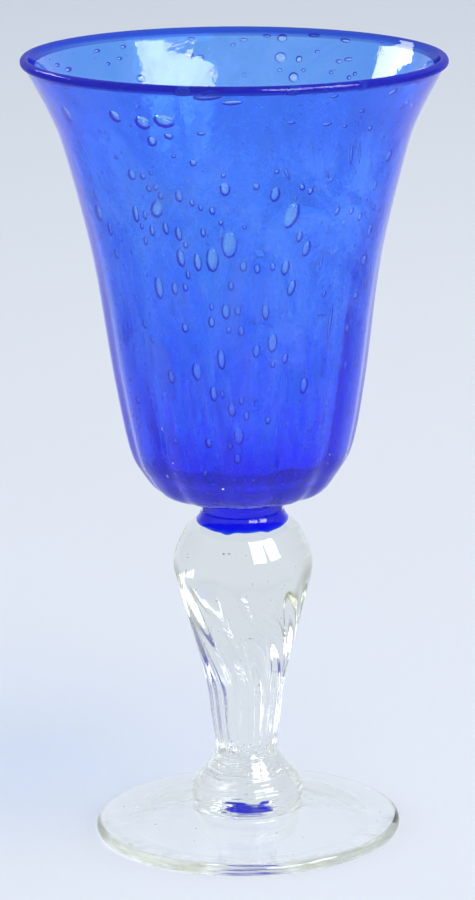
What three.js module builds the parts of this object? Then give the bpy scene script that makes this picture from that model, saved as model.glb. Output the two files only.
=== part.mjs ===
// A hand-blown water goblet in millimetres, z up. The origin is the centre of the foot's resting plane.
// The bowl is a blue bubbled lining under a clear, optic-ribbed casing. A blue collar joins it to a
// clear, ribbed, solid baluster stem, which stands on a two-tier knop and a kicked-up disc foot.
import * as THREE from "three";

// Foot: a disc with a rounded edge. Its crown is the lower half of the knop's wide tier, and its
// underside is kicked up into the crown by the pontil rod.
const footRadius = 38.9;
const footEdgeThickness = 3.2;
const footDiscRadius = 24;
const footDiscHeight = 4.7;
const footInnerRadius = 17;
const footInnerHeight = 5.5;
const footNeckRadius = 13.5;
const footNeckHeight = 6.2;
const footSwellRadius = 13.8;
const footSwellHeight = 8.1;
const footCrownRadius = 14.1;
const footCrownHeight = 10.4;
const restRingInnerRadius = 30.5;
const hollowOuterRadius = 28.5;
const hollowOuterHeight = 0.4;
const footHollowRadius = 17;
const footHollowHeight = 2.5;
const kickMouthRadius = 12.8;
const kickMouthHeight = 3.5;
const kickSideRadius = 11;
const kickSideHeight = 5.9;
const kickShoulderRadius = 9.2;
const kickShoulderHeight = 7.5;
const kickTopRadius = 7;
const kickTopHeight = 8.7;
const kickHeight = 9.2;

// Knop: the upper half of the wide tier, a crease and a narrow tier under the stem
const knopHeight = 10;
const knopShoulderRadius = 13.1;
const knopShoulderRise = 3;
const knopCreaseRadius = 11.6;
const knopCreaseRise = 4.7;
const knopCreaseDepth = 0.35;
const knopTierRadius = 10.1;
const knopTierRise = 6.6;

// Stem: a solid inverted baluster with a socket in its mouth, which the collar's plug fills
const stemLength = 64;
const stemEndRadius = 8.1;
const stemNeckRadius = 7.85;
const stemNeckRise = 2.1;
const stemShankRadius = 8.9;
const stemShankRise = 11;
const stemTaperRadius = 10.6;
const stemTaperRise = 21.9;
const stemSwellRadius = 15.3;
const stemSwellRise = 39.6;
const stemBulgeRadius = 17.65;
const stemBulgeRise = 50.4;
const stemShoulderRadius = 14.9;
const stemShoulderRise = 58.6;
const stemThroatRadius = 11.55;
const stemThroatRise = 62;
const stemMouthLip = 0.5;
const stemRibDepth = 0.6;
const stemTwistRise = 16.5;
const stemTwist = 40;

// Collar: a short blue post, fused into the stem's mouth and under the bowl
const collarPlugRadius = 9.85;
const collarPlugDepth = 6;
const collarNoseRadius = 9;
const collarNoseHeight = 0.8;
const collarWaistRadius = 10.25;
const collarVisibleHeight = 3;
const collarTopRadius = 10.9;

// Bowl: a bell with a flared, fire-polished rim
const bowlHeight = 112.2;
const rimRadius = 52.6;
const lipThickness = 2.4;
const bowlUndersideRadius = 14.3;
const bowlUndersideRise = 0.6;
const bowlTurnRadius = 20.7;
const bowlTurnRise = 2.6;
const bowlHeelRadius = 24.9;
const bowlHeelRise = 7.4;
const bowlShankRadius = 28.2;
const bowlShankRise = 14.4;
const bowlLowerRadius = 31.6;
const bowlLowerRise = 32.4;
const bowlMiddleRadius = 35.9;
const bowlMiddleRise = 62.2;
const bowlFlareRadius = 42.1;
const bowlFlareRise = 88.2;
const bowlMouthRadius = 46.1;
const bowlMouthRise = 99.2;
const casingWall = 0.95;
const casingBase = 1.6;
const liningWall = 1.2;
const liningBase = 4.6;
const bowlRibDepth = 0.75;
const bowlRibFadeRise = 96;
const rimLean = 0.86;

// Fits and facets: glass that is fused in the real piece keeps a hair gap here, apart from flat seats
const fusedGap = 0.25;
const ribCount = 12;
const ribStart = -101.5;
const stemRibStart = -87;
const ribSides = 6;
const plainSides = 48;
const liningSides = 60;

// Heights of the joints, stacked from the foot up
const knopBase = footCrownHeight;
const stemBase = knopBase + knopHeight;
const stemMouth = stemBase + stemLength;
const collarBase = stemMouth - collarPlugDepth;
const bowlBase = stemMouth + collarVisibleHeight;
const rimHeight = bowlBase + bowlHeight;
const ribbedSides = ribCount * ribSides;

const point = (radius, height) => new THREE.Vector2(radius, height);
const radians = THREE.MathUtils.degToRad;
const fade = THREE.MathUtils.smoothstep;

// Points along a smooth curve through stations, with so many steps from each to the next
function through(stations, steps) {
  return new THREE.SplineCurve(stations).getPoints(steps * (stations.length - 1));
}

// An arc about a centre, from one angle to another in degrees
function arc(centre, radius, from, to, steps) {
  const curve = new THREE.EllipseCurve(
    centre.x, centre.y, radius, radius, radians(from), radians(to), to < from);
  return curve.getPoints(steps);
}

// The points of a profile moved square to it, to its left, by the depth that each point asks for
function inset(profile, depthAt) {
  return profile.map((here, i) => {
    const before = profile[Math.max(i - 1, 0)];
    const after = profile[Math.min(i + 1, profile.length - 1)];
    const along = after.clone().sub(before).normalize();
    const depth = depthAt(here);
    return point(here.x - along.y * depth, here.y + along.x * depth);
  });
}

// A profile that rises, ended where it reaches a height
function endedAt(profile, height) {
  const next = profile.findIndex((p) => p.y >= height);
  const low = profile[next - 1];
  const share = (height - low.y) / (profile[next].y - low.y);
  return [...profile.slice(0, next), low.clone().lerp(profile[next], share)];
}

// Every second point of a profile, and its last, for the faces inside the glass
function everySecond(profile) {
  return profile.filter((p, i) => i % 2 === 0 || i === profile.length - 1);
}

// A solid turned about the z axis from a section that starts and ends on the axis or closes on
// itself. form gives the radius and height of a section point at an angle.
function turned(section, sides, form = (p) => [p.x, p.y]) {
  const lathe = new THREE.LatheGeometry(section, sides);
  const places = lathe.getAttribute("position");
  for (let i = 0; i < places.count; i += 1) {
    const angle = (2 * Math.PI * Math.floor(i / section.length)) / sides;
    const [radius, height] = form(section[i % section.length], angle);
    places.setXYZ(i, radius * Math.cos(angle), radius * Math.sin(angle), height);
  }
  return lathe;
}

// How far an optic rib's groove is sunk at an angle, from 0 on the rib to 1 in the groove
function groove(angle, start) {
  const wave = (1 + Math.cos(ribCount * (angle - radians(start)))) / 2;
  return wave * wave;
}

// The bowl's outside, from the edge of its flat base to the mouth
const bowlOutline = through(
  [
    point(collarTopRadius, bowlBase),
    point(bowlUndersideRadius, bowlBase + bowlUndersideRise),
    point(bowlTurnRadius, bowlBase + bowlTurnRise),
    point(bowlHeelRadius, bowlBase + bowlHeelRise),
    point(bowlShankRadius, bowlBase + bowlShankRise),
    point(bowlLowerRadius, bowlBase + bowlLowerRise),
    point(bowlMiddleRadius, bowlBase + bowlMiddleRise),
    point(bowlFlareRadius, bowlBase + bowlFlareRise),
    point(bowlMouthRadius, bowlBase + bowlMouthRise),
    point(rimRadius, rimHeight - lipThickness / 4),
  ],
  2,
);
const lip = point(rimRadius - lipThickness / 2, rimHeight - lipThickness / 2);
const lipSeat = lip.y - (lipThickness / 2) * Math.SQRT1_2;

// A wall's depth is full at the bowl's base and thins to the plain wall above the heel
function thinning(base, wall) {
  return (p) => THREE.MathUtils.lerp(base, wall, fade(p.y - bowlBase, 0, 2 * bowlHeelRise));
}

// The hand-finished rim leans a little, and the lean dies out down the flare
function leaning(radius, height, angle) {
  const share = fade(height, bowlBase + bowlMiddleRise, rimHeight - lipThickness);
  return height - radius * Math.cos(angle) * Math.tan(radians(rimLean)) * share;
}

// Clear casing: ribbed outside by the optic mould, round inside
function bowlCasing() {
  const outside = endedAt(bowlOutline, lipSeat - fusedGap);
  const inside = everySecond(inset(bowlOutline, thinning(casingBase, casingWall)));
  const section = [
    point(0, bowlBase), ...outside, ...endedAt(inside, lipSeat - fusedGap).reverse(),
    point(0, bowlBase + casingBase)];
  return turned(section, ribbedSides, (p, angle) => {
    const rise = p.y - bowlBase;
    const ribbed = outside.includes(p) ? fade(rise, 0, bowlTurnRise) : 0;
    const depth = bowlRibDepth * ribbed * (1 - fade(rise, bowlHeelRise, bowlRibFadeRise));
    return [p.x - depth * groove(angle, ribStart), leaning(p.x, p.y, angle)];
  });
}

// Blue lining: it sits on the casing's floor, and its lip rolls over the casing's top edge
function bowlLining() {
  const clear = thinning(casingBase, casingWall);
  const full = thinning(casingBase + liningBase, casingWall + fusedGap + liningWall);
  const outside = everySecond(inset(bowlOutline, (p) => clear(p) + fusedGap));
  const inside = everySecond(inset(bowlOutline, full));
  const floor = bowlBase + casingBase;
  const section = [
    point(0, floor),
    point(collarTopRadius - 1, floor),
    ...endedAt(outside, lipSeat),
    ...arc(lip, lipThickness / 2, -45, 150, 5),
    ...endedAt(inside, lipSeat).reverse(),
    point(0, floor + liningBase),
  ];
  return turned(section, liningSides, (p, angle) => [p.x, leaning(p.x, p.y, angle)]);
}

// Collar: its plug stands in the stem's socket, and its flat top meets the bowl's base
function collar() {
  const side = through(
    [
      point(collarPlugRadius, stemMouth),
      point(collarWaistRadius, stemMouth + collarVisibleHeight / 2),
      point(collarTopRadius, bowlBase),
    ],
    2,
  );
  const section = [
    point(0, collarBase), point(collarNoseRadius, collarBase),
    point(collarPlugRadius, collarBase + collarNoseHeight), ...side, point(0, bowlBase)];
  return turned(section, plainSides);
}

// Stem: its outside is drawn in ribs that twist as the stem narrows and fade out at the bulge
function stem() {
  const socketRadius = collarPlugRadius + fusedGap;
  const outside = through(
    [
      point(stemEndRadius, stemBase),
      point(stemNeckRadius, stemBase + stemNeckRise),
      point(stemShankRadius, stemBase + stemShankRise),
      point(stemTaperRadius, stemBase + stemTaperRise),
      point(stemSwellRadius, stemBase + stemSwellRise),
      point(stemBulgeRadius, stemBase + stemBulgeRise),
      point(stemShoulderRadius, stemBase + stemShoulderRise),
      point(stemThroatRadius, stemBase + stemThroatRise),
      point(socketRadius + stemMouthLip, stemMouth),
    ],
    2,
  );
  const section = [
    point(0, stemBase), ...outside, point(socketRadius, stemMouth),
    point(socketRadius, collarBase + collarNoseHeight),
    point(collarNoseRadius + fusedGap, collarBase), point(0, collarBase)];
  return turned(section, ribbedSides, (p, angle) => {
    const rise = p.y - stemBase;
    const drawn = 1 - fade(rise, stemTwistRise, stemBulgeRise);
    const sunk = groove(angle, stemRibStart + stemTwist * drawn);
    const fades = fade(rise, 0, stemNeckRise) * (1 - fade(rise, stemSwellRise, stemBulgeRise));
    return [p.x - (outside.includes(p) ? stemRibDepth * fades * sunk : 0), p.y];
  });
}

// Knop: it stands on the foot's crown, which it runs on from
function knop() {
  const lower = through(
    [
      point(footCrownRadius, knopBase),
      point(knopShoulderRadius, knopBase + knopShoulderRise),
      point(knopCreaseRadius, knopBase + knopCreaseRise),
    ],
    4,
  );
  const upper = through(
    [
      point(knopCreaseRadius - knopCreaseDepth, knopBase + knopCreaseRise + knopCreaseDepth / 2),
      point(knopTierRadius, knopBase + knopTierRise),
      point(stemEndRadius, stemBase),
    ],
    3,
  );
  return turned([point(0, knopBase), ...lower, ...upper, point(0, stemBase)], plainSides);
}

// Foot: the disc's top climbs to a neck under the crown, and its underside climbs beside it
function foot() {
  const edgeCentre = point(footRadius - footEdgeThickness / 2, footEdgeThickness / 2);
  const underside = through(
    [
      point(0, kickHeight),
      point(kickTopRadius, kickTopHeight),
      point(kickShoulderRadius, kickShoulderHeight),
      point(kickSideRadius, kickSideHeight),
      point(kickMouthRadius, kickMouthHeight),
      point(footHollowRadius, footHollowHeight),
      point(hollowOuterRadius, hollowOuterHeight),
      point(restRingInnerRadius, 0),
    ],
    2,
  );
  const top = through(
    [
      point(edgeCentre.x, footEdgeThickness),
      point(footDiscRadius, footDiscHeight),
      point(footInnerRadius, footInnerHeight),
      point(footNeckRadius, footNeckHeight),
      point(footSwellRadius, footSwellHeight),
      point(footCrownRadius, footCrownHeight),
    ],
    2,
  );
  const section = [
    ...underside,
    ...arc(edgeCentre, footEdgeThickness / 2, -90, 90, 8),
    ...top.slice(1),
    point(0, footCrownHeight),
  ];
  return turned(section, plainSides);
}

function glass(name, geometry, colour, roughness) {
  const mesh = new THREE.Mesh(
    geometry,
    new THREE.MeshStandardMaterial({ color: colour, roughness, metalness: 0 }),
  );
  mesh.name = name;
  return mesh;
}

const goblet = new THREE.Group();
goblet.add(
  glass("foot", foot(), 0xdfe3e6, 0.06),
  glass("knop", knop(), 0xdcdfe0, 0.05),
  glass("stem", stem(), 0xdde1e3, 0.05),
  glass("collar", collar(), 0x0d10c8, 0.08),
  glass("bowl_casing", bowlCasing(), 0xc9d3ea, 0.05),
  glass("bowl_lining", bowlLining(), 0x4a66f0, 0.08),
);
export default goblet;
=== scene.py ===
# A hand-blown water goblet: a blue bubbled bowl in a clear ribbed casing, on a clear stem, knop and
# foot. Sizes are in millimetres and are turned to metres where a mesh is made.
import math
import random

import bmesh
import bpy
from mathutils import Matrix, Vector, noise


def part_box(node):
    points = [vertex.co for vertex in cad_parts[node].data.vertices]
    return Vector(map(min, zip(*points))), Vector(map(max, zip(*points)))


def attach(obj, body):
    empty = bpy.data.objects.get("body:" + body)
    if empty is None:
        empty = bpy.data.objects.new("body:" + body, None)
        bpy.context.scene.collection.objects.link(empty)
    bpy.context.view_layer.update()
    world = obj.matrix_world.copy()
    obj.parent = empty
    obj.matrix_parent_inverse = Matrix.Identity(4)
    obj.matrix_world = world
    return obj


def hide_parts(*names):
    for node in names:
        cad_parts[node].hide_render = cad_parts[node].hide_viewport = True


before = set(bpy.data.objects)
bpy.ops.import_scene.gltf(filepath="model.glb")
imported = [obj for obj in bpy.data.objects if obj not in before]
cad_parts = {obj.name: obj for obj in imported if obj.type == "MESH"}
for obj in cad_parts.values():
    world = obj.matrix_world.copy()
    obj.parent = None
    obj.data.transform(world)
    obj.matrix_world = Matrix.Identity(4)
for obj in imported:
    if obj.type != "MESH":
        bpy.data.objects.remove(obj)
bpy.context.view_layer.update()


# FOOT
# A disc of clear soda-lime glass, pressed open while hot from one gather. Its edge is fire-rounded,
# its crown swells into the knop, and the pontil rod has kicked its underside up into the crown.
MM = 0.001
OPEN, FUSED = (0.0, 0.0), (1.0, 0.0)  # how far a skin is fused to more glass, and how clouded
joint_gap = 0.05
foot_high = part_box("foot")[1]
foot_radius = foot_high.x / MM
foot_edge = 3.2
crown_height = foot_high.z / MM
crown_radius = 14.1
kick_radius = 12
rest_ring_inside = 30.5


def linear(colour):
    """An sRGB hex colour as linear red, green, blue and alpha."""
    parts = [int(colour[i : i + 2], 16) / 255 for i in (0, 2, 4)]
    return (*((c / 12.92 if c <= 0.04045 else ((c + 0.055) / 1.055) ** 2.4) for c in parts), 1.0)


def add(tree, kind, links=(), inputs=(), **settings):
    """A new node. settings are its own values, inputs its sockets' and links what feeds them."""
    node = tree.nodes.new(kind)
    for name, value in settings.items():
        setattr(node, name, value)
    for socket, value in dict(inputs).items():
        node.inputs[socket].default_value = value
    for socket, source in dict(links).items():
        tree.links.new(source, node.inputs[socket])
    return node


def ramp(tree, source, stops):
    """The colour that a value stands for, from stops of a position and a colour."""
    node = add(tree, "ShaderNodeValToRGB", {"Fac": source})
    first, last = node.color_ramp.elements
    first.position, first.color = stops[0]
    last.position, last.color = stops[-1]
    for position, colour in stops[1:-1]:
        node.color_ramp.elements.new(position).color = colour
    return node.outputs["Color"]


def empty_material(name):
    """A material with nothing but its output node."""
    made = bpy.data.materials.new(name)
    made.use_nodes = True
    made.node_tree.nodes.clear()
    return made, made.node_tree, add(made.node_tree, "ShaderNodeOutputMaterial")


def through(stations, steps):
    """Points on a smooth curve through stations, with so many steps from each to the next."""
    ends = [stations[0], *stations, stations[-1]]
    points = []
    for four in zip(ends, ends[1:], ends[2:], ends[3:]):
        for i in range(steps):
            t = i / steps
            points.append(tuple(
                b + t * (c - a) / 2 + t * t * (a - 2.5 * b + 2 * c - d / 2)
                + t * t * t * (1.5 * (b - c) + (d - a) / 2)
                for a, b, c, d in zip(*four)))
    return [*points, stations[-1]]


def arc(centre, radius, start, end, steps):
    """Points on an arc, from one angle to another in degrees."""
    angles = [math.radians(start + (end - start) * i / steps) for i in range(steps + 1)]
    return [(centre[0] + radius * math.cos(a), centre[1] + radius * math.sin(a)) for a in angles]


def fade(value, low, high):
    """0 at low, 1 at high and a smooth step between them."""
    t = min(max((value - low) / (high - low), 0), 1)
    return t * t * (3 - 2 * t)


def wave(radius, height, angle, size, depth):
    """The slow waviness of hand-worked glass: depth in mm over patches of about size mm."""
    return depth * noise.noise(
        Vector((radius * math.cos(angle), radius * math.sin(angle), height)) / size)


def turned(skins, steps, form):
    """A closed bmesh turned from skins of (radius, height) points. Each skin is open glass or
    fused, clear or clouded, and runs up to the next one's first point. form moves a point by the
    number of its skin, its radius, height and angle."""
    bm = bmesh.new()
    place = bm.verts.layers.int.new("place")
    fused = bm.faces.layers.float.new("fused")
    clouded = bm.faces.layers.float.new("clouded")
    owner = [(number, kind) for number, (kind, points) in enumerate(skins) for _ in points]
    line = [bm.verts.new((r * MM, 0, h * MM)) for _, points in skins for r, h in points]
    for i, v in enumerate(line):
        v[place] = i
    edges = [bm.edges.new(pair) for pair in zip(line, line[1:])]
    bmesh.ops.spin(bm, geom=[*line, *edges], cent=(0, 0, 0), axis=(0, 0, 1), dvec=(0, 0, 0),
                   angle=2 * math.pi, steps=steps, use_merge=True, use_normal_flip=False,
                   use_duplicate=False)
    bmesh.ops.remove_doubles(bm, verts=bm.verts, dist=1e-6)
    bmesh.ops.recalc_face_normals(bm, faces=bm.faces)
    for face in bm.faces:
        face[fused], face[clouded] = owner[min(v[place] for v in face.verts)][1]
    for v in bm.verts:
        radius, angle = math.hypot(v.co.x, v.co.y) / MM, math.atan2(v.co.y, v.co.x)
        if radius > 0.01:
            radius, height = form(owner[v[place]][0], radius, v.co.z / MM, angle)
            v.co = (radius * MM * math.cos(angle), radius * MM * math.sin(angle), height * MM)
    return bm


def inside_out_ball(name, subdivisions):
    """A ball that faces inwards, as the surface of the air in blown glass does. A power above 2
    makes it a little squarer than round, as a bubble is that was pressed flat in the wall."""
    power = 2.5
    bm = bmesh.new()
    bmesh.ops.create_icosphere(bm, subdivisions=subdivisions, radius=1)
    for v in bm.verts:
        out = min(math.hypot(v.co.x, v.co.y), 1)
        v.co.z = math.copysign((1 - out ** power) ** (1 / power), v.co.z)
    bmesh.ops.reverse_faces(bm, faces=bm.faces)
    mesh = bpy.data.meshes.new(name)
    bm.to_mesh(mesh)
    bm.free()
    return mesh


bubble_ball = inside_out_ball("bubble_ball", 2)
seed_ball = inside_out_ball("seed_ball", 1)


def add_bubble(bm, matrix, ball):
    """An air bubble in a glass solid: the ball, stretched and placed by a matrix in mm."""
    shape = ball.copy()
    shape.transform(Matrix.Scale(MM, 4) @ matrix)
    bm.from_mesh(shape)
    bpy.data.meshes.remove(shape)


def finish_piece(bm, name, node, material):
    """Makes the piece that stands for a CAD node, with sharp corners kept and the rest smooth."""
    sharp_from = math.radians(38)
    for face in bm.faces:
        face.smooth = True
    for edge in bm.edges:
        edge.smooth = edge.calc_face_angle(0) < sharp_from
    mesh = bpy.data.meshes.new(name)
    bm.to_mesh(mesh)
    bm.free()
    mesh.materials.append(material)
    piece = bpy.data.objects.new(name, mesh)
    bpy.context.scene.collection.objects.link(piece)
    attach(piece, "root")
    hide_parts(node)


def join_glass(tree, output, surface, colour, density, coats=()):
    """Gives a glass its surface and its depth. Where two hot gathers have run together there is no
    surface, so light passes straight on there, and only the depth of the glass tints it. Lamp light
    passes on into the shadow too, as it does under real glass: most of it at each surface, and with
    little of the tint. coats are the skins' attribute, share and shader, for skins that show more
    than clear glass to the eye. They stand in no lamp's way."""
    surface_passes, shadow_tint = 0.88, 0.1
    joint = add(tree, "ShaderNodeAttribute", attribute_name="fused")
    ray = add(tree, "ShaderNodeLightPath")
    shadow = add(tree, "ShaderNodeMath", {0: ray.outputs["Is Shadow Ray"]}, {1: surface_passes},
                 operation="MULTIPLY")
    seen = add(tree, "ShaderNodeMath", {1: ray.outputs["Is Shadow Ray"]}, {0: 1.0},
               operation="SUBTRACT")
    open_share = add(tree, "ShaderNodeMath", {0: joint.outputs["Fac"], 1: shadow.outputs[0]},
                     operation="MAXIMUM")
    passing = add(tree, "ShaderNodeBsdfTransparent")
    either = add(tree, "ShaderNodeMixShader", {
        0: open_share.outputs[0], 1: surface, 2: passing.outputs["BSDF"]})
    for skins, share_there, coat in coats:
        skin = add(tree, "ShaderNodeAttribute", attribute_name=skins)
        here = add(tree, "ShaderNodeMath", {0: skin.outputs["Fac"], 1: seen.outputs[0]},
                   operation="MULTIPLY")
        share = add(tree, "ShaderNodeMath", {0: here.outputs[0], 1: share_there},
                    operation="MULTIPLY")
        either = add(tree, "ShaderNodeMixShader", {
            0: share.outputs[0], 1: either.outputs["Shader"], 2: coat})
    in_shadow = add(tree, "ShaderNodeMath", {0: ray.outputs["Is Shadow Ray"]},
                    {1: (shadow_tint - 1) * density, 2: density}, operation="MULTIPLY_ADD")
    depth = add(tree, "ShaderNodeVolumeAbsorption", {"Density": in_shadow.outputs[0]},
                {"Color": colour})
    tree.links.new(either.outputs["Shader"], output.inputs["Surface"])
    tree.links.new(depth.outputs["Volume"], output.inputs["Volume"])


def clear_soda_glass():
    """Clear soda-lime glass, fire-polished. Deep glass greys towards olive, and faint cords left in
    the melt ripple its surface a little."""
    made, tree, output = empty_material("clear_soda_lime_glass")
    place = add(tree, "ShaderNodeTexCoord")
    cord_spacing = 9 * MM
    cords = add(tree, "ShaderNodeTexNoise", {"Vector": place.outputs["Object"]},
                {"Scale": 1 / cord_spacing, "Detail": 2.0, "Roughness": 0.4})
    ripple = add(tree, "ShaderNodeBump", {"Height": cords.outputs["Fac"]},
                 {"Strength": 0.3, "Distance": 0.3 * MM})
    glass = add(tree, "ShaderNodeBsdfPrincipled", {"Normal": ripple.outputs["Normal"]},
                {"Base Color": linear("FAFBFB"), "Roughness": 0.0, "IOR": 1.5,
                 "Transmission Weight": 1.0})
    join_glass(tree, output, glass.outputs["BSDF"], colour=linear("EAEAD6"), density=9.0)
    return made


clear_glass = clear_soda_glass()
edge_centre = (foot_radius - foot_edge / 2, foot_edge / 2)
foot_underside = through(
    [(0, 9.2), (4, 9.1), (7, 8.7), (9.2, 7.5), (11, 5.9), (11.9, 4.4), (13.4, 3.2), (17, 2.5),
     (24, 1.4), (28.5, 0.4), (rest_ring_inside, 0)], 8)
foot_top = through([(edge_centre[0], foot_edge), (24, 4.7), (17, 5.5), (13.6, 6.0)], 16)
foot_crown = through([(13.45, 6.4), (13.7, 7.8), (14.05, 9.2), (crown_radius, crown_height)], 10)


def tool_marks(height, angle):
    """Fine rings that the jacks leave, in mm out from the plain shape."""
    drift = noise.noise(Vector((1.4 * math.cos(angle), 1.4 * math.sin(angle), height / 6)))
    worn = 0.5 + 0.5 * noise.noise(Vector((2 * math.cos(angle), 2 * math.sin(angle), height / 1.9)))
    return 0.075 * worn * math.sin(2 * math.pi * (height / 1.25 + drift))


def foot_form(skin, radius, height, angle):
    """The disc is a little uneven where the paddle pressed it, the crown has tool marks, and the
    top of the kick is the rough scar of the pontil. The foot's ring and its seat stay flat."""
    in_kick = radius < kick_radius
    loose = fade(height, 2, 3) * (1 - fade(height, 5.6, 6.2)) * (not in_kick)
    rough = fade(height, 3.9, 6) * in_kick
    below_seat = 1 - fade(height, crown_height - 0.8, crown_height)
    crown = fade(height, 6.4, 7) * below_seat * (not in_kick)
    return (radius + crown * tool_marks(height, angle),
            height + loose * wave(radius, height, angle, 20, 0.3)
            + rough * wave(radius, height, angle, 1.7, 0.07))


foot_mesh = turned(
    [(OPEN, [*foot_underside, *arc(edge_centre, foot_edge / 2, -90, 90, 24), *foot_top[1:],
             *foot_crown[:-1]]), (FUSED, [foot_crown[-1], (0, crown_height)])], 192, foot_form)
chance = random.Random(11)  # seeds, the fine specks of air that stay in the melt
for _ in range(22):
    away, round_by = chance.uniform(18, 34), chance.uniform(0, 2 * math.pi)
    size = chance.uniform(0.12, 0.28)
    add_bubble(foot_mesh, Matrix.Translation(
        (away * math.cos(round_by), away * math.sin(round_by), chance.uniform(2.8, 3.0))
    ) @ Matrix.Scale(size, 4), seed_ball)
finish_piece(foot_mesh, "foot_disc", "foot", clear_glass)


# KNOP
# Clear glass from one bit, dropped on the end of the stem and squeezed with the jacks into a narrow
# tier over a wide one. The wide tier runs on into the foot's crown.
knop_base, knop_top = (corner.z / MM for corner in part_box("knop"))
stem_end = 8.1
knop_lower = through(
    [(crown_radius, knop_base + joint_gap), (13.8, knop_base + 1.5), (13.1, knop_base + 3),
     (11.6, knop_base + 4.7)], 10)
knop_upper = through(
    [(11.25, knop_base + 4.9), (10.1, knop_base + 6.6), (stem_end, knop_top - joint_gap)], 12)


def knop_form(skin, radius, height, angle):
    """The jacks leave the knop a little out of round between its two flat seats."""
    free = fade(height, knop_base, knop_base + 1) * (1 - fade(height, knop_top - 1, knop_top))
    moved = wave(radius, height, angle, 7, 0.35) + tool_marks(height, angle)
    return radius + free * moved * (skin == 1), height


knop_mesh = turned(
    [(FUSED, [(0, knop_base + joint_gap)]), (OPEN, [*knop_lower, *knop_upper[:-1]]),
     (FUSED, [knop_upper[-1], (0, knop_top - joint_gap)])], 160, knop_form)
chance = random.Random(5)  # its seeds
for _ in range(46):
    away, round_by = 10 * math.sqrt(chance.random()), chance.uniform(0, 2 * math.pi)
    height = knop_base + 1 + 5 * chance.random()
    add_bubble(knop_mesh, Matrix.Translation(
        (away * math.cos(round_by), away * math.sin(round_by), height)
    ) @ Matrix.Scale(chance.uniform(0.1, 0.26), 4), seed_ball)
finish_piece(knop_mesh, "knop_two_tier", "knop", clear_glass)


# STEM
# A solid inverted baluster, ribbed in the optic mould, then drawn and twisted, so that its ribs
# lean. Its mouth is a socket, and the blue glass of the collar has run down into that.
rib_count = 12
stem_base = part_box("stem")[0].z / MM
stem_mouth = stem_base + 64
collar_low, collar_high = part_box("collar")
collar_base = collar_low.z / MM
stem_rib_start = math.radians(-87)
stem_twist = math.radians(40)
plug_radius = 10.0
nose_radius = 9.2
nose_height = collar_base + 0.8
mouth_lip = 0.3
twist_height = stem_base + 16.5
swell_height, bulge_height = stem_base + 39.6, stem_base + 50.4
stem_outside = through(
    [(stem_end, stem_base), (7.85, stem_base + 2.1), (8.9, stem_base + 11),
     (10.6, stem_base + 21.9), (15.3, swell_height), (17.65, bulge_height),
     (14.9, stem_base + 58.6), (11.55, stem_base + 62),
     (plug_radius + 2 * mouth_lip, stem_mouth - mouth_lip)], 13)


def groove(angle, start):
    """How far an optic rib's groove is sunk at an angle, from 0 on the rib to 1 in the groove."""
    return ((1 + math.cos(rib_count * (angle - start))) / 2) ** 2


def ragged(radius, height, angle):
    """How far up the lower edge of the blue glass stands in the socket, unevenly round it."""
    low = (1 - fade(height, collar_base, nose_height + 1)) * fade(radius, 6, nose_radius)
    return 1.5 * low * (0.5 + 0.7 * noise.noise(
        Vector((3.1 * math.cos(angle), 3.1 * math.sin(angle), 4.7))))


def stem_form(skin, radius, height, angle):
    """Ribs on the outside, which is skin 1, that fade out at the bulge. The socket is skin 2."""
    if skin == 2:
        return radius, height + ragged(radius, height, angle)
    turn = stem_twist * (1 - fade(height, twist_height, bulge_height))
    sunk = groove(angle, stem_rib_start + turn) * (1 - fade(height, swell_height, bulge_height))
    depth = 0.6 * fade(height, stem_base, stem_base + 2.1)
    below_mouth = 1 - fade(height, stem_mouth - 4, stem_mouth - 2)
    free = fade(height, stem_base, stem_base + 2) * below_mouth
    return radius - depth * sunk + free * wave(radius, height, angle, 12, 0.2), height


stem_mesh = turned(
    [(FUSED, [(0, stem_base)]),
     (OPEN, [*stem_outside, *arc((plug_radius + mouth_lip, stem_mouth - mouth_lip), mouth_lip,
                                 0, 165, 10)[1:]]),
     (FUSED, [(plug_radius, stem_mouth - mouth_lip), (plug_radius, nose_height),
              (nose_radius, collar_base - joint_gap), (0, collar_base - joint_gap)])],
    240, stem_form)
chance = random.Random(23)  # its seeds, drawn out a little on the way up
for _ in range(70):
    height = stem_base + 1.5 + 54 * chance.random()
    outside = next(r for r, h in stem_outside if h >= height)
    away = (outside - 1.4) * math.sqrt(chance.random())
    round_by = chance.uniform(0, 2 * math.pi)
    size = chance.uniform(0.1, 0.24)
    add_bubble(stem_mesh, Matrix.Translation(
        (away * math.cos(round_by), away * math.sin(round_by), height)
    ) @ Matrix.Diagonal((size, size, 1.6 * size, 1)), seed_ball)
# Two flat specks side by side in the bulge's front, just under the collar
for across in (-4.5, -3.2):
    add_bubble(stem_mesh, Matrix.Translation((across, -11, collar_base - 3.2))
               @ Matrix.Diagonal((0.5, 0.4, 0.3, 1)), seed_ball)
finish_piece(stem_mesh, "stem_baluster", "stem", clear_glass)


# COLLAR
# A short post of thick cobalt blue glass, the neck that the bowl was held by. It is fused into the
# stem's socket, where its lower edge ran down unevenly when the stem was joined.
HAZY_FUSED = (1.0, 0.12)
bowl_base = collar_high.z / MM
lip_starts, lip_rolls = bowl_base + 109.3, bowl_base + 109.9
collar_side = through(
    [(plug_radius - joint_gap, stem_mouth), (10.25, (stem_mouth + bowl_base) / 2),
     (10.9, bowl_base - joint_gap)], 12)


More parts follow.
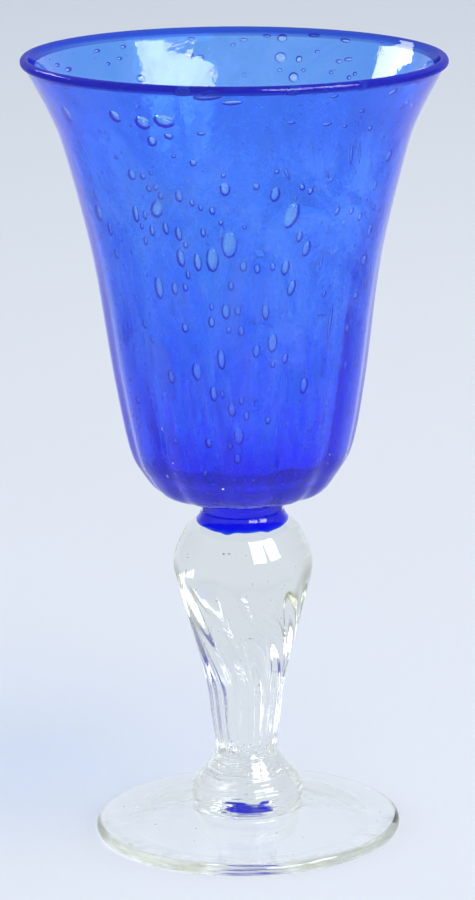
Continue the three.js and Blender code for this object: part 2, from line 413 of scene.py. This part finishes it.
def cobalt_glass(name, depth_colour, density, hues, thin, thick):
    """Cobalt blue soda-lime glass. It absorbs red and green, so its colour deepens with the glass
    in the way. The hand-stirred melt is clouded by fine bubbles, in clouds up the wall and in
    streaks that were drawn out lower down. hues are the cloud's colours at rises up the bowl, in
    mm, and thin and thick its least and greatest share. Painted shade: a dark blue diffuse where
    the skin of a bubble or the roll of the lip is seen edge-on, a little of it on the lip all over,
    and a violet diffuse along the bowl's edges, where the cloud is thinned too."""
    made, tree, output = empty_material(name)
    place = add(tree, "ShaderNodeTexCoord")
    cloud_size = 21 * MM
    drawn_out = add(tree, "ShaderNodeMapping", {"Vector": place.outputs["Object"]},
                    {"Scale": (1, 1, 0.65)})
    clouds = add(tree, "ShaderNodeTexNoise", {"Vector": drawn_out.outputs["Vector"]},
                 {"Scale": 1 / cloud_size, "Detail": 10.0, "Roughness": 0.7, "Distortion": 1.6})
    streak_width = 2.6 * MM
    drawn_down = add(tree, "ShaderNodeMapping", {"Vector": place.outputs["Object"]},
                     {"Scale": (1, 1, 0.09)})
    streaks = add(tree, "ShaderNodeTexNoise", {"Vector": drawn_down.outputs["Vector"]},
                  {"Scale": 1 / streak_width, "Detail": 5.0, "Roughness": 0.6, "Distortion": 0.4})
    axes = add(tree, "ShaderNodeSeparateXYZ", {0: place.outputs["Object"]})
    climb = add(tree, "ShaderNodeMapRange", {"Value": axes.outputs["Z"]},
                {"From Min": bowl_base * MM, "From Max": (bowl_base + 100) * MM})
    streaky = add(tree, "ShaderNodeMapRange", {"Value": climb.outputs["Result"]},
                  {"From Min": 0.2, "From Max": 0.75, "To Min": 0.6, "To Max": 0.15})
    mottled = add(tree, "ShaderNodeMix", {
        "Factor": streaky.outputs["Result"], "A": clouds.outputs["Fac"],
        "B": streaks.outputs["Fac"]})
    amount = add(tree, "ShaderNodeMapRange", {"Value": mottled.outputs["Result"]},
                 {"From Min": 0.44, "From Max": 0.57, "To Min": thin, "To Max": thick})
    at_rim = add(tree, "ShaderNodeMapRange", {"Value": climb.outputs["Result"]},
                 {"From Min": 0.9, "From Max": 1.0, "To Min": 1.0, "To Max": 0.35})
    patchy = add(tree, "ShaderNodeMath", {0: amount.outputs["Result"], 1: at_rim.outputs["Result"]},
                 operation="MULTIPLY")
    # Light bends on its way in, so at the bowl's edges it meets the wall at 45 degrees at most,
    # where this value is 0.29. There the cloud is thinned by the angle it is seen at, not by the
    # glass, so that the bowl's edges show darker: painted shade.
    turned_away = add(tree, "ShaderNodeLayerWeight", inputs={"Blend": 0.5})
    cloud_cut_for_edge_shade = add(tree, "ShaderNodeMapRange", {"Value": turned_away.outputs["Facing"]},
                     {"From Min": 0.19, "From Max": 0.27, "To Min": 1.0, "To Max": 0.2})
    # Painted shade: where the lining's fused outer skin is seen edge-on it takes a violet diffuse,
    # which darkens the bowl's edges. Diffuse rays don't see it.
    ray = add(tree, "ShaderNodeLightPath")
    edge_shade_strength = add(tree, "ShaderNodeMapRange", {"Value": ray.outputs["Is Diffuse Ray"]},
                     {"To Min": 0.3, "To Max": 0.0})
    painted_edge_shade = add(tree, "ShaderNodeMapRange", {
        "Value": turned_away.outputs["Facing"], "To Max": edge_shade_strength.outputs["Result"]},
        {"From Min": 0.21, "From Max": 0.26, "To Min": 0.0})
    violet = add(tree, "ShaderNodeBsdfDiffuse", inputs={"Color": linear("2A1AD4")})
    share = add(tree, "ShaderNodeMath", {0: patchy.outputs[0], 1: cloud_cut_for_edge_shade.outputs["Result"]},
                operation="MULTIPLY")
    hue = ramp(tree, climb.outputs["Result"], [(rise / 100, linear(tint)) for rise, tint in hues])
    facing = add(tree, "ShaderNodeBsdfDiffuse", {"Color": hue})
    behind = add(tree, "ShaderNodeBsdfTranslucent", {"Color": hue})
    cloud = add(tree, "ShaderNodeMixShader",
                {1: facing.outputs["BSDF"], 2: behind.outputs["BSDF"]}, {0: 0.5})
    cord_spacing = 6 * MM
    cords = add(tree, "ShaderNodeTexNoise", {"Vector": place.outputs["Object"]},
                {"Scale": 1 / cord_spacing, "Detail": 3.0, "Roughness": 0.5, "Distortion": 0.8})
    ripple = add(tree, "ShaderNodeBump", {"Height": cords.outputs["Fac"]},
                 {"Strength": 0.35, "Distance": 0.3 * MM})
    glass = add(tree, "ShaderNodeBsdfPrincipled", {"Normal": ripple.outputs["Normal"]},
                {"Base Color": linear("FFFFFF"), "Roughness": 0.0, "IOR": 1.5,
                 "Transmission Weight": 1.0})
    # Painted shade: the skins of bubbles and the lip, which aren't clouded, take a dark blue
    # diffuse where they are seen edge-on, and the lip takes a little of it all over.
    skin = add(tree, "ShaderNodeAttribute", attribute_name="clouded")
    lip_shade_share = add(tree, "ShaderNodeMapRange", {"Value": axes.outputs["Z"]}, {
        "From Min": lip_starts * MM, "From Max": lip_rolls * MM, "To Min": 0.0, "To Max": 0.42})
    edge_on = add(tree, "ShaderNodeMapRange", {
        "Value": turned_away.outputs["Facing"], "To Min": lip_shade_share.outputs["Result"]},
        {"From Min": 0.34, "From Max": 0.78, "To Max": 0.72})
    unclouded_edge = add(tree, "ShaderNodeMapRange",
                         {"Value": skin.outputs["Fac"], "To Min": edge_on.outputs["Result"]},
                         {"From Max": 0.05, "To Max": 0.0})
    painted_shade_blue = add(tree, "ShaderNodeBsdfDiffuse", inputs={"Color": linear("1018A8")})
    outlined = add(tree, "ShaderNodeMixShader", {
        0: unclouded_edge.outputs["Result"], 1: glass.outputs["BSDF"],
        2: painted_shade_blue.outputs["BSDF"]})
    join_glass(tree, output, outlined.outputs["Shader"], depth_colour, density, (
        ("clouded", share.outputs[0], cloud.outputs["Shader"]),
        ("fused", painted_edge_shade.outputs["Result"], violet.outputs["BSDF"])))
    return made


def collar_form(skin, radius, height, angle):
    """The lower edge is ragged, and the waist a little out of round."""
    waist = fade(height, stem_mouth, stem_mouth + 1) * (1 - fade(height, bowl_base - 1, bowl_base))
    return (radius + waist * wave(radius, height, angle, 9, 0.3),
            height + ragged(radius, height, angle) * (skin == 0))


collar_glass = cobalt_glass(
    "cobalt_collar_glass", depth_colour=(0.012, 0.42, 0.996, 1), density=2000.0,
    hues=[(0, "7078FF"), (100, "7078FF")], thin=0.45, thick=0.95)
collar_mesh = turned(
    [(HAZY_FUSED, [(0, collar_base), (nose_radius - joint_gap, collar_base),
                   (plug_radius - joint_gap, nose_height),
                   (plug_radius - joint_gap, stem_mouth - 0.2)]),
     (OPEN, collar_side[:-1]), (FUSED, [collar_side[-1], (0, bowl_base - joint_gap)])],
    160, collar_form)
finish_piece(collar_mesh, "collar_post", "collar", collar_glass)


# BOWL CASING
# The clear outer gather of the bowl, blown in a twelve-rib optic mould. Its ribs are deep round the
# heel and die out up the flare, and it shows as a pale band along the bowl's edges.
rim_radius = 52.6
lip_thickness = 2.4
rim_height = bowl_base + 112.1
rim_lean = math.radians(0.86)
heel_rise = 7.4
flare_height = bowl_base + 62.2
casing_at_base, casing_wall = 1.6, 0.8
ribs_end = 96
bowl_rib_depth = 0.75
bowl_rib_start = math.radians(-101.5)
bowl_outline = through(
    [(10.9, bowl_base), (14.3, bowl_base + 0.6), (20.7, bowl_base + 2.6),
     (24.9, bowl_base + heel_rise), (28.2, bowl_base + 14.4), (31.6, bowl_base + 32.4),
     (35.9, flare_height), (42.1, bowl_base + 88.2), (46.1, bowl_base + 99.2),
     (rim_radius, rim_height - lip_thickness / 4)], 12)
lip_centre = (rim_radius - lip_thickness / 2, rim_height - lip_thickness / 2)
lip_seat = lip_centre[1] - lip_thickness / 2 * math.sqrt(0.5)


def skin_at(depth_at):
    """The bowl's outline moved into the glass, square to it, by the depth for each height."""
    moved = []
    last = len(bowl_outline) - 1
    for i, (radius, height) in enumerate(bowl_outline):
        before, after = bowl_outline[max(i - 1, 0)], bowl_outline[min(i + 1, last)]
        along = Vector((after[0] - before[0], after[1] - before[1])).normalized()
        depth = depth_at(height)
        moved.append((radius - along.y * depth, height + along.x * depth))
    return moved


def ended_at(profile, height):
    """A rising profile, ended where it reaches a height."""
    count = next(i for i, point in enumerate(profile) if point[1] >= height)
    low, high = profile[count - 1], profile[count]
    share = (height - low[1]) / (high[1] - low[1])
    return [*profile[:count], (low[0] + share * (high[0] - low[0]), height)]


def thinning(base, wall):
    """A wall's depth: full at the bowl's base, thinning to the plain wall above the heel."""
    return lambda height: base + (wall - base) * fade(height - bowl_base, 0, 2 * heel_rise)


def leaned(radius, height, angle):
    """The hand-finished rim leans, and the lean dies out down the flare."""
    share = fade(height, flare_height, rim_height - lip_thickness)
    return height - radius * math.cos(angle) * math.tan(rim_lean) * share


def casing_form(skin, radius, height, angle):
    """Optic ribs on the outside alone, which is skin 1."""
    rise = height - bowl_base
    ribbed = fade(rise, 0, 2.6) * (1 - fade(rise, heel_rise, ribs_end)) * (skin == 1)
    free = fade(rise, 2, 12) * (1 - fade(height, rim_height - 12, rim_height - 3)) * (skin == 1)
    moved = free * wave(radius, height, angle, 24, 0.2)
    return (radius - bowl_rib_depth * ribbed * groove(angle, bowl_rib_start) + moved,
            leaned(radius, height, angle))


def wall_point(height, depth):
    """The radius, height and slope of the glass at a depth under the bowl's outline."""
    low, high = next(pair for pair in zip(bowl_outline, bowl_outline[1:]) if pair[1][1] >= height)
    share = (height - low[1]) / (high[1] - low[1])
    along = Vector((high[0] - low[0], high[1] - low[1])).normalized()
    radius = low[0] + share * (high[0] - low[0])
    return radius - along.y * depth, height + along.x * depth, along


def wall_bubble(bm, angle, height, depth, width, length, lean, ball):
    """A flattened bubble at a depth in the bowl's wall, never so thick that it would break out."""
    most_thick = 0.52
    radius, height, along = wall_point(height, depth)
    lift = leaned(radius, height, angle) - height
    across = Vector((-math.sin(angle), math.cos(angle), 0))
    upward = Vector((along.x * math.cos(angle), along.x * math.sin(angle), along.y))
    outward = across.cross(upward)
    a = math.radians(lean)
    thick = min(most_thick, 0.36 * min(width, length) + 0.05)
    sides = (
        (across * math.cos(a) + upward * math.sin(a)) * (width / 2),
        (upward * math.cos(a) - across * math.sin(a)) * (length / 2),
        outward * thick)
    matrix = Matrix([(*row,) for row in zip(*sides)]).to_4x4()
    matrix.translation = (radius * math.cos(angle), radius * math.sin(angle), height + lift)
    add_bubble(bm, matrix, ball)


casing_depth = thinning(casing_at_base, casing_wall)
casing_outside = ended_at(bowl_outline, lip_seat - joint_gap)
casing_inside = ended_at(skin_at(casing_depth), lip_seat - joint_gap)
casing_mesh = turned(
    [(FUSED, [(0, bowl_base)]), (OPEN, casing_outside[:-1]),
     (FUSED, [casing_outside[-1], *reversed(casing_inside), (0, bowl_base + casing_at_base)])],
    240, casing_form)
chance = random.Random(8)  # fine bubbles, most of them round the heel
for _ in range(120):
    rise = 1.5 + 26 * chance.random() ** 2
    size = chance.uniform(0.3, 0.5) + 0.4 * (1 - fade(rise, 6, 14))
    wall_bubble(casing_mesh, chance.uniform(-math.pi, math.pi), bowl_base + rise,
                casing_depth(bowl_base + rise) / 2 + 0.2, size, size * chance.uniform(1, 1.8),
                chance.uniform(-40, 40), seed_ball)
finish_piece(casing_mesh, "bowl_clear_casing", "bowl_casing", clear_glass)


# BOWL LINING
# The first gather, cobalt blue and full of air bubbles. Where the wall was drawn up they are long
# and upright, and where the rim was opened they are long and level. Its lip rolls over the casing's
# edge, and its inner skin is the clouded one.
CLOUDED_OPEN = (0.0, 1.0)
floor_at_axis = 6.2
lining_floor = bowl_base + casing_at_base + joint_gap
lining_outside = ended_at(skin_at(lambda height: casing_depth(height) + joint_gap), lip_seat)
inner_depth = thinning(floor_at_axis, 2.5)
lining_inside = ended_at(skin_at(inner_depth), lip_seat)

# Bubbles of the front wall: across from the axis, height, width, length and lean to the left in
# degrees. The last seven are folds that tore open, and long threads of air.
front_bubbles = [
    (-12, 197, 4, 1.1, 0), (-6.3, 196.4, 6.5, 1.9, 5), (-0.6, 195, 4.4, 1.3, 3),
    (13.6, 197, 3.8, 1, 3), (21, 197, 2.2, 0.7, 3), (23, 195.6, 2.1, 0.7, 0),
    (30, 197, 3, 1, 10), (37, 195, 2.6, 1.2, 25), (29.5, 191, 1.5, 0.9, 10),
    (13, 189.5, 1.8, 0.8, 0), (21.5, 188.5, 2.1, 0.9, 10), (25.5, 187.5, 1.2, 0.8, 0),
    (31.5, 186, 1.4, 1.2, 30), (-28, 190, 2.8, 3.3, 20), (-21.5, 189, 3.8, 3.7, 0),
    (-16.5, 189.8, 5, 3.6, 0), (-15.5, 186, 2.2, 1.7, 0), (-19.5, 184.4, 2.3, 2.8, -20),
    (-39.5, 188.5, 3.8, 4.5, 0), (-8, 187, 1.8, 1, 0), (-10, 179.5, 1.6, 1.7, 0),
    (-14.5, 181, 1, 0.9, 0), (-28, 179.5, 1.1, 1.1, 0), (-24.5, 175.5, 2.1, 2.8, 0),
    (-21.9, 175.4, 1.5, 1.6, 0), (-20, 176.4, 0.9, 1, 0), (-20.6, 172.4, 1.3, 1.7, 10),
    (-19, 172.8, 1.1, 1.5, 0), (-17.8, 170.8, 1.3, 1.9, 0), (-18.8, 167.4, 3, 4.6, -25),
    (-13.5, 171, 1.8, 3, 0), (-10.5, 169.5, 1.2, 1.9, 5), (-8.5, 168.3, 1, 1.7, 8),
    (-5.8, 167.6, 1.3, 2, 8), (-3.8, 164.6, 1, 1.5, 0), (-23.8, 165.6, 1.7, 4.2, -3),
    (-21.6, 165.6, 1.1, 2.5, -5), (-20, 161.8, 1.3, 2.8, 0), (-16.8, 162.7, 1.4, 3.3, 3),
    (-22.4, 162.6, 0.9, 1.5, 0), (-13.8, 161.5, 1.6, 3.6, 2), (-8, 162, 1.2, 2.3, 0),
    (-12.2, 158.8, 1.1, 1.8, 0), (-21.6, 159, 1.1, 2, 0), (-2.7, 173, 2.3, 3.2, 0),
    (4.7, 173.6, 1.5, 1.8, -10), (9.5, 177.2, 1.2, 1.2, 0), (-3, 176.5, 1.1, 1.2, 0),
    (9, 171.4, 2.2, 3.6, -8), (15.4, 172.8, 1.3, 1.7, 15), (17.3, 171.6, 1.3, 1.7, -20),
    (12.7, 165.8, 3.6, 6.4, -16), (13.8, 170, 0.8, 0.8, 0), (36, 177.4, 2.6, 3, -20),
    (23.6, 165.7, 1.3, 2.3, -15), (27, 165, 1.4, 1.9, -15), (29, 163, 1.3, 2, -15),
    (1.7, 163.4, 1, 1, 0), (-1.9, 159.2, 3.6, 6.9, -3), (14.6, 160.2, 1.5, 2.8, -5),
    (16.2, 157, 2.1, 3.9, -8), (-6, 155.3, 2.9, 6.2, -2), (-9.5, 154.5, 1.9, 4.5, 0),
    (-13.4, 155.4, 1.9, 4.6, 3), (1.3, 153.5, 1.6, 2.7, 0), (-32.6, 164, 3, 4, 0),
    (4.5, 152.8, 1.4, 2.5, 5), (8.2, 153.1, 1.2, 2.1, 0), (11.2, 152.6, 2, 3.8, -6),
    (12.6, 147.4, 1.9, 4.1, -12), (-11.8, 151.2, 1, 2.2, 0), (-18.7, 147.3, 2.3, 5.6, 0),
    (-15, 147.5, 1.6, 3.2, 0), (-12.5, 148, 1.2, 2, 0), (-1.7, 148.7, 1.2, 2.5, 0),
    (-3, 142.2, 1.9, 3.9, 0), (-0.2, 142.4, 1.4, 2.6, 0), (-6.4, 143.3, 1, 1.9, 0),
    (6.3, 141.8, 1.6, 4.1, 3), (-6.5, 139.4, 1.5, 2.7, 0), (-12.8, 137.7, 1.6, 2.4, 8),
    (-2.4, 137.6, 1.1, 1.9, 0), (0.5, 137.3, 1.4, 2.7, 2), (7.8, 133.8, 2.3, 4.8, -2),
    (4, 132, 1.7, 3.4, -4), (10.9, 129.6, 1.4, 2.7, -6), (7.8, 128.4, 1.1, 1.9, 0),
    (-4.3, 130, 1.9, 5, 2), (-10.3, 126.6, 2.2, 4.4, 3), (-16.3, 124.8, 1.6, 3.5, 5),
    (20.3, 144.8, 0.9, 1.7, -10), (30, 151, 2.4, 2.9, -10), (-6.4, 121, 1.7, 3.9, 3),
    (-4.2, 121, 0.9, 2.1, 0), (0.3, 119.4, 1.2, 2.4, -3), (-2, 117, 1.8, 3.6, 0),
    (1.4, 115.4, 1.3, 2.5, 0), (6.4, 113.8, 1.2, 1.9, 0), (15.2, 122, 2, 4, -5),
    (-0.5, 110, 2.3, 4.4, -2), (-2.6, 107.4, 1.3, 2, 0), (-7.9, 108, 1.6, 2.7, 5),
    (-0.9, 104, 1.6, 2.6, 0), (-15.7, 108, 1.2, 1.7, 8), (26, 134.4, 1.4, 2.4, -10),
    (28, 142.4, 2, 2, 0), (-22.5, 137.4, 1, 2.3, 5), (-20.7, 133.8, 0.9, 2, 8),
    (-24.5, 116.8, 1.6, 1.8, 0), (-26, 122, 1, 1, 0), (-22, 110, 0.9, 0.8, 0),
    (-16, 98, 1.5, 1, -40), (-9, 99.6, 1.2, 1.8, -30), (-7.2, 95.6, 1.8, 0.9, -20),
    (-4.4, 94.2, 1.5, 1, -45), (2.7, 97.5, 1.2, 0.8, 0), (10.2, 95, 1.3, 0.9, 35),
    (22.5, 105.2, 0.8, 0.8, 0), (22, 101.6, 0.9, 0.9, 0), (25, 109.6, 0.7, 0.7, 0),
    (17.4, 102, 0.8, 0.8, 0), (-19.4, 102.4, 0.8, 0.9, 0), (27, 180, 0.9, 5.5, 10),
    (29, 180.5, 0.5, 7, 14), (21.2, 175.8, 0.6, 3.2, 30), (22.4, 174.2, 0.6, 2.6, -40),
    (11.8, 176.6, 0.7, 3.4, 25), (19.7, 153.5, 0.7, 5, -3), (21.6, 137.4, 0.9, 9, -3)]

# Bubbles of the back wall, which shows inside the rim
back_bubbles = [
    (-35, 194.8, 1.9, 0.8, 0), (-28.4, 195, 1.5, 0.8, 0), (-38.8, 188.4, 3.4, 2.2, 30),
    (-24, 187.3, 2.4, 1.8, 20), (-44.6, 193.5, 2.5, 1, 0), (-42, 191.9, 3, 1.2, 0),
    (-44.4, 190.4, 2.4, 1, 0), (-32.3, 191.5, 1.3, 0.8, 0), (-29.4, 192.4, 1.5, 0.8, 0),
    (-8.7, 191.5, 1.7, 0.9, 10), (-11, 195.8, 1.9, 0.8, 0), (8.6, 196.4, 2, 0.8, 5),
    (2.6, 195.4, 2, 0.8, 0), (12.5, 196, 2.5, 1.9, 0), (20.7, 197, 3, 1, 0),
    (28.6, 196.3, 2.9, 1, 5), (26.9, 191.3, 2, 1, 0), (12, 191.4, 3, 2.7, 20),
    (11.7, 188.4, 1.2, 1, 0), (15.2, 186.8, 2.6, 2.4, 40), (21.5, 193.2, 1.4, 0.8, 0),
    (-0.2, 194.2, 1.2, 0.8, 0), (-5.9, 187.6, 1.5, 1.2, 0), (2.5, 187.2, 0.9, 0.9, 0),
    (17.8, 188.6, 1, 0.9, 0), (29.3, 187.8, 1.3, 1, 0)]


def lining_form(skin, radius, height, angle):
    """Inside, which is skin 2, the blue wall is a little uneven, and thicker behind the ribs."""
    rise = height - bowl_base
    free = fade(rise, 8, 22) * (1 - fade(height, rim_height - 14, rim_height - 4)) * (skin == 2)
    ribs = 0.36 * (1 - groove(angle, bowl_rib_start)) * (1 - 0.7 * fade(rise, 20, ribs_end))
    return (radius + free * (wave(radius, height, angle, 18, 0.12) + 0.1 - ribs),
            leaned(radius, height, angle))


lining_mesh = turned(
    [(HAZY_FUSED, [(0, lining_floor), *lining_outside]),
     (OPEN, arc(lip_centre, lip_thickness / 2, -45, 150, 26)),
     (CLOUDED_OPEN, [*reversed(lining_inside), (0, bowl_base + floor_at_axis)])],
    240, lining_form)
bubble_depth = 1.7
taken = []  # angle, height and half size of each bubble, so that no scattered one overlaps another
for bubbles, side in ((front_bubbles, -1), (back_bubbles, 1)):
    for across, height, wide, long, lean in bubbles:
        width, length = 1.08 * wide + 0.1, 1.08 * long + 0.1
        radius = wall_point(height, bubble_depth)[0]
        angle = side * math.acos(max(-0.99, min(0.99, across / radius)))
        depth = (casing_depth(height) + inner_depth(height)) / 2
        wall_bubble(lining_mesh, angle, height, depth, width, length, lean, bubble_ball)
        taken.append((angle, height, max(width, length) / 2))
# Bubbles and seeds scattered in the rest of the wall. In front, between the placed ones, only
# seeds are scattered.
front_angle, half_front = -math.pi / 2, 0.95
drawn_level, drawn_round = 192, 176
chance = random.Random(41)
for i in range(1500):
    angle, height = chance.uniform(-math.pi, math.pi), chance.uniform(bowl_base + 6, 197)
    in_front = front_angle - half_front < angle < front_angle + half_front
    seed = i % 5 > 1 or in_front
    size = chance.uniform(0.3, 0.75) if seed else chance.uniform(1, 2.3)
    stretch = chance.uniform(1.2, 2.2)
    if height > drawn_level:
        width, length = size * stretch, size * 0.7
    elif height > drawn_round:
        width, length = size, size * chance.uniform(0.8, 1.2)
    else:
        width, length = size * 0.8, size * stretch
    reach = max(width, length) / 2
    radius = wall_point(height, bubble_depth)[0]
    if all(math.hypot((angle - a) * radius, height - h) > reach + r + 0.2 for a, h, r in taken):
        depth = (casing_depth(height) + inner_depth(height)) / 2
        wall_bubble(lining_mesh, angle, height, depth, width, length, chance.uniform(-9, 9),
                    seed_ball if seed else bubble_ball)
        taken.append((angle, height, reach))
lining_glass = cobalt_glass(
    "bubbled_cobalt_glass", depth_colour=(0.012, 0.55, 0.99, 1), density=1170.0,
    hues=[(0, "4A24F0"), (14, "6C48FF"), (32, "A2B0FF"), (52, "BEE6FF"), (78, "C8F0FF"),
          (100, "A6D0FF")], thin=0.08, thick=0.92)
finish_piece(lining_mesh, "bowl_blue_lining", "bowl_lining", lining_glass)


# STUDIO
# A pale blue-white paper sweep under plain soft light. Three window panes are the white shapes that
# the glass mirrors, and a pale grey card on each side gives the clear stem its grey edges.
def paper_sweep():
    """Matt paper. Seen through or in the glass it shows at the same pale colour, without the noise
    of light that has passed the glass twice."""
    made, tree, output = empty_material("matt_paper_sweep")
    ray = add(tree, "ShaderNodeLightPath")
    paper = add(tree, "ShaderNodeBsdfDiffuse", inputs={"Color": linear("E4E8EC"), "Roughness": 0.5})
    pale = add(tree, "ShaderNodeEmission", inputs={"Color": linear("E0E8F3"), "Strength": 1.0})
    in_glass = add(tree, "ShaderNodeMath",
                   {0: ray.outputs["Is Transmission Ray"], 1: ray.outputs["Is Glossy Ray"]},
                   operation="MAXIMUM")
    share = add(tree, "ShaderNodeMath", {0: in_glass.outputs[0]}, {1: 0.8}, operation="MULTIPLY")
    both = add(tree, "ShaderNodeMixShader",
               {0: share.outputs[0], 1: paper.outputs["BSDF"], 2: pale.outputs["Emission"]})
    tree.links.new(both.outputs["Shader"], output.inputs["Surface"])
    return made


under_foot = 0.08 * MM
sweep = bmesh.new()
bmesh.ops.create_grid(sweep, x_segments=24, y_segments=24, size=7)
for v in sweep.verts:
    v.co.z = -under_foot
sweep_mesh = bpy.data.meshes.new("paper_sweep")
sweep.to_mesh(sweep_mesh)
sweep.free()
sweep_mesh.materials.append(paper_sweep())
paper = bpy.data.objects.new("paper_sweep", sweep_mesh)
bpy.context.scene.collection.objects.link(paper)

world = bpy.data.worlds.new("pale_studio")
world.use_nodes = True
world_tree = world.node_tree
world_tree.nodes.clear()
direction = add(world_tree, "ShaderNodeTexCoord")
upward = add(world_tree, "ShaderNodeSeparateXYZ", {0: direction.outputs["Generated"]})
tent = ramp(world_tree, upward.outputs["Z"], [
    (rise, (light, light, light, 1))
    for rise, light in ((0.0, 1), (0.34, 1), (0.62, 0.28), (1.0, 0.16))])
tent_colour = add(world_tree, "ShaderNodeMix", {"A": tent}, {"B": linear("E3EBF8"), "Factor": 1.0},
                  data_type="RGBA", blend_type="MULTIPLY")
ray = add(world_tree, "ShaderNodeLightPath")
walls = add(world_tree, "ShaderNodeBackground", {"Color": tent_colour.outputs["Result"]},
            {"Strength": 1.75})
seen = add(world_tree, "ShaderNodeBackground", inputs={"Color": linear("DEE6F1"), "Strength": 1.0})
in_glass = add(world_tree, "ShaderNodeMath",
               {0: ray.outputs["Is Glossy Ray"], 1: ray.outputs["Is Transmission Ray"]},
               operation="MAXIMUM")
is_seen = add(world_tree, "ShaderNodeMath",
              {0: ray.outputs["Is Camera Ray"], 1: in_glass.outputs[0]}, operation="MAXIMUM")
either = add(world_tree, "ShaderNodeMixShader",
             {0: is_seen.outputs[0], 1: walls.outputs["Background"], 2: seen.outputs["Background"]})
add(world_tree, "ShaderNodeOutputWorld", {"Surface": either.outputs["Shader"]})
bpy.context.scene.world = world
goblet_middle = (0, 0, 0.12)


def soft_lamp(name, place, size, power):
    """A rectangular soft lamp that faces the goblet. Glass doesn't mirror it."""
    data = bpy.data.lights.new(name, "AREA")
    data.shape = "RECTANGLE"
    data.size, data.size_y = size
    data.energy = power
    data.color = linear("FFFAF3")[:3]
    lamp = bpy.data.objects.new(name, data)
    bpy.context.scene.collection.objects.link(lamp)
    facing = (Vector(goblet_middle) - Vector(place)).to_track_quat("-Z", "Y")
    lamp.matrix_world = Matrix.Translation(place) @ facing.to_matrix().to_4x4()
    lamp.visible_camera = lamp.visible_glossy = lamp.visible_transmission = False


def glowing_card(name, place, size, target, colour, strength, edge_colour=None):
    """A card beside the table that faces the goblet. It shows only in glass, and lights nothing.
    With an edge colour it fades out into that colour towards its edges."""
    bm = bmesh.new()
    bm.loops.layers.uv.new("card")
    bmesh.ops.create_grid(bm, x_segments=1, y_segments=1, size=0.5, calc_uvs=True)
    facing = (Vector(target) - Vector(place)).to_track_quat("Z", "Y")
    bmesh.ops.transform(bm, verts=bm.verts, matrix=(
        Matrix.Translation(place) @ facing.to_matrix().to_4x4() @ Matrix.Diagonal((*size, 1, 1))))
    mesh = bpy.data.meshes.new(name)
    bm.to_mesh(mesh)
    bm.free()
    made, tree, output = empty_material(name)
    glow = add(tree, "ShaderNodeEmission", inputs={"Color": linear(colour), "Strength": strength})
    if edge_colour:
        place_on = add(tree, "ShaderNodeUVMap", uv_map="card")
        centred = add(tree, "ShaderNodeMapping", {"Vector": place_on.outputs["UV"]},
                      {"Location": (-1, -1, 0), "Scale": (2, 2, 1)})
        inwards = add(tree, "ShaderNodeTexGradient", {"Vector": centred.outputs["Vector"]},
                      gradient_type="SPHERICAL")
        solid = add(tree, "ShaderNodeMapRange", {"Value": inwards.outputs["Fac"]},
                    {"From Max": 0.6}, interpolation_type="SMOOTHSTEP")
        faded = add(tree, "ShaderNodeMix", {"Factor": solid.outputs["Result"]},
                    {"A": linear(edge_colour), "B": linear(colour)}, data_type="RGBA")
        tree.links.new(faded.outputs["Result"], glow.inputs["Color"])
    tree.links.new(glow.outputs["Emission"], output.inputs["Surface"])
    made.cycles.emission_sampling = "NONE"
    mesh.materials.append(made)
    card = bpy.data.objects.new(name, mesh)
    bpy.context.scene.collection.objects.link(card)
    card.visible_camera = card.visible_diffuse = card.visible_shadow = False


for name, place, size in (
        ("right_window_pane_1", (0.52, -0.89, 0.80), (0.50, 0.70)),
        ("right_window_pane_2", (0.90, -0.52, 0.80), (0.47, 0.70)),
        ("left_window_pane", (-0.93, 0.65, 0.62), (0.6, 0.55))):
    glowing_card(name, place, size, goblet_middle, "F6FAFF", 13.0)
for name, side in (("left_grey_card", -1), ("right_grey_card", 1)):
    glowing_card(name, (0.25 * side, 0.13, 0.15), (0.46, 0.34), (0, 0.13, 0.15), "AEB2A8", 1.0,
                 edge_colour="DEE6F1")
soft_lamp("overhead_lamp", (0.75, -0.6, 1.7), (1.3, 1.3), 21.0)

camera_turn, camera_pitch, camera_roll = (math.radians(a) for a in (0.0574, 90 - 13.94, -1.0624))
camera_data = bpy.data.cameras.new("photo_camera")
camera_data.lens = 157.2255
camera_data.sensor_width = 36
camera = bpy.data.objects.new("photo_camera", camera_data)
bpy.context.scene.collection.objects.link(camera)
camera.matrix_world = (
    Matrix.Translation((0, -0.959, 0.3377))
    @ Matrix.Rotation(camera_turn, 4, "Z") @ Matrix.Rotation(camera_pitch, 4, "X")
    @ Matrix.Rotation(camera_roll, 4, "Z"))
bpy.context.scene.camera = camera
bpy.context.scene.view_settings.view_transform = "Standard"
# Light crosses many skins of glass on its way through a bowl full of bubbles.
for limit in ("max_bounces", "glossy_bounces", "transmission_bounces", "transparent_max_bounces"):
    setattr(bpy.context.scene.cycles, limit, 32)
